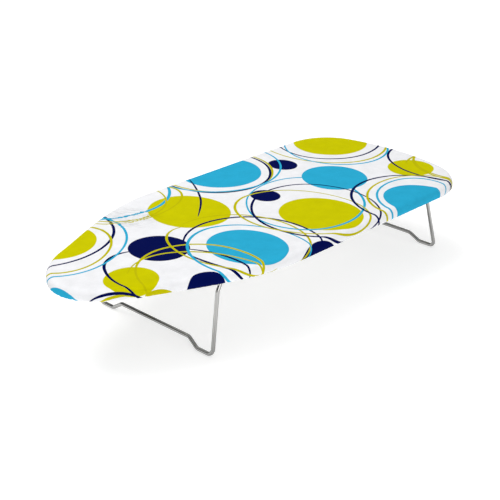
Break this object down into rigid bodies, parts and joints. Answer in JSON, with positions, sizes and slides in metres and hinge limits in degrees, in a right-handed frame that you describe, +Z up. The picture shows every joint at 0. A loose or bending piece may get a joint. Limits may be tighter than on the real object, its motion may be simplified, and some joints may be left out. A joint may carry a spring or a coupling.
{
  "type": "tabletop ironing board",
  "caption": "Low ironing board for a table: padded steel mesh board with a blunt nose, printed cotton cover and folding U-shaped wire legs.",
  "frame": {"origin": "on the table, under the middle of the board's length and width, with the legs open", "axes": "+X from the nose to the tail, +Y to the left seen from the nose-to-tail direction, +Z up"},
  "size_m": [0.73, 0.32, 0.13],
  "materials": {
    "printed_cotton": "plain-weave white cotton printed with lime, turquoise and navy discs and thin rings",
    "felt": "needled off-white felt pad",
    "elastic": "white covered elastic cord",
    "painted_steel": "light grey powder coat",
    "zinc_steel": "zinc plated",
    "leg_wire": "drawn bright wire, satin"
  },
  "bodies": {
    "board": {"cover": "printed_cotton", "foam_pad": "felt", "mesh_top": "painted_steel", "edge_frame": "painted_steel", "hem_elastic": "elastic", "nose_brace": "painted_steel", "tail_brace": "painted_steel", "nose_saddle_left": "zinc_steel", "nose_saddle_right": "zinc_steel", "tail_saddle_left": "zinc_steel", "tail_saddle_right": "zinc_steel", "nose_rivet_left_a": "zinc_steel", "nose_rivet_left_b": "zinc_steel", "nose_rivet_right_a": "zinc_steel", "nose_rivet_right_b": "zinc_steel", "tail_rivet_left_a": "zinc_steel", "tail_rivet_left_b": "zinc_steel", "tail_rivet_right_a": "zinc_steel", "tail_rivet_right_b": "zinc_steel"},
    "nose_leg": {"nose_leg": "leg_wire"},
    "tail_leg": {"tail_leg": "leg_wire"}
  },
  "joints": [
    {"name": "nose_leg_fold", "type": "hinge", "parent": "board", "child": "nose_leg", "pos_m": [-0.17413, 0, 0.1162], "axis": [0, -1, 0], "range_deg": [0, 98.5]},
    {"name": "tail_leg_fold", "type": "hinge", "parent": "board", "child": "tail_leg", "pos_m": [0.2738, 0, 0.1162], "axis": [0, 1, 0], "range_deg": [0, 105.5]}
  ]
}
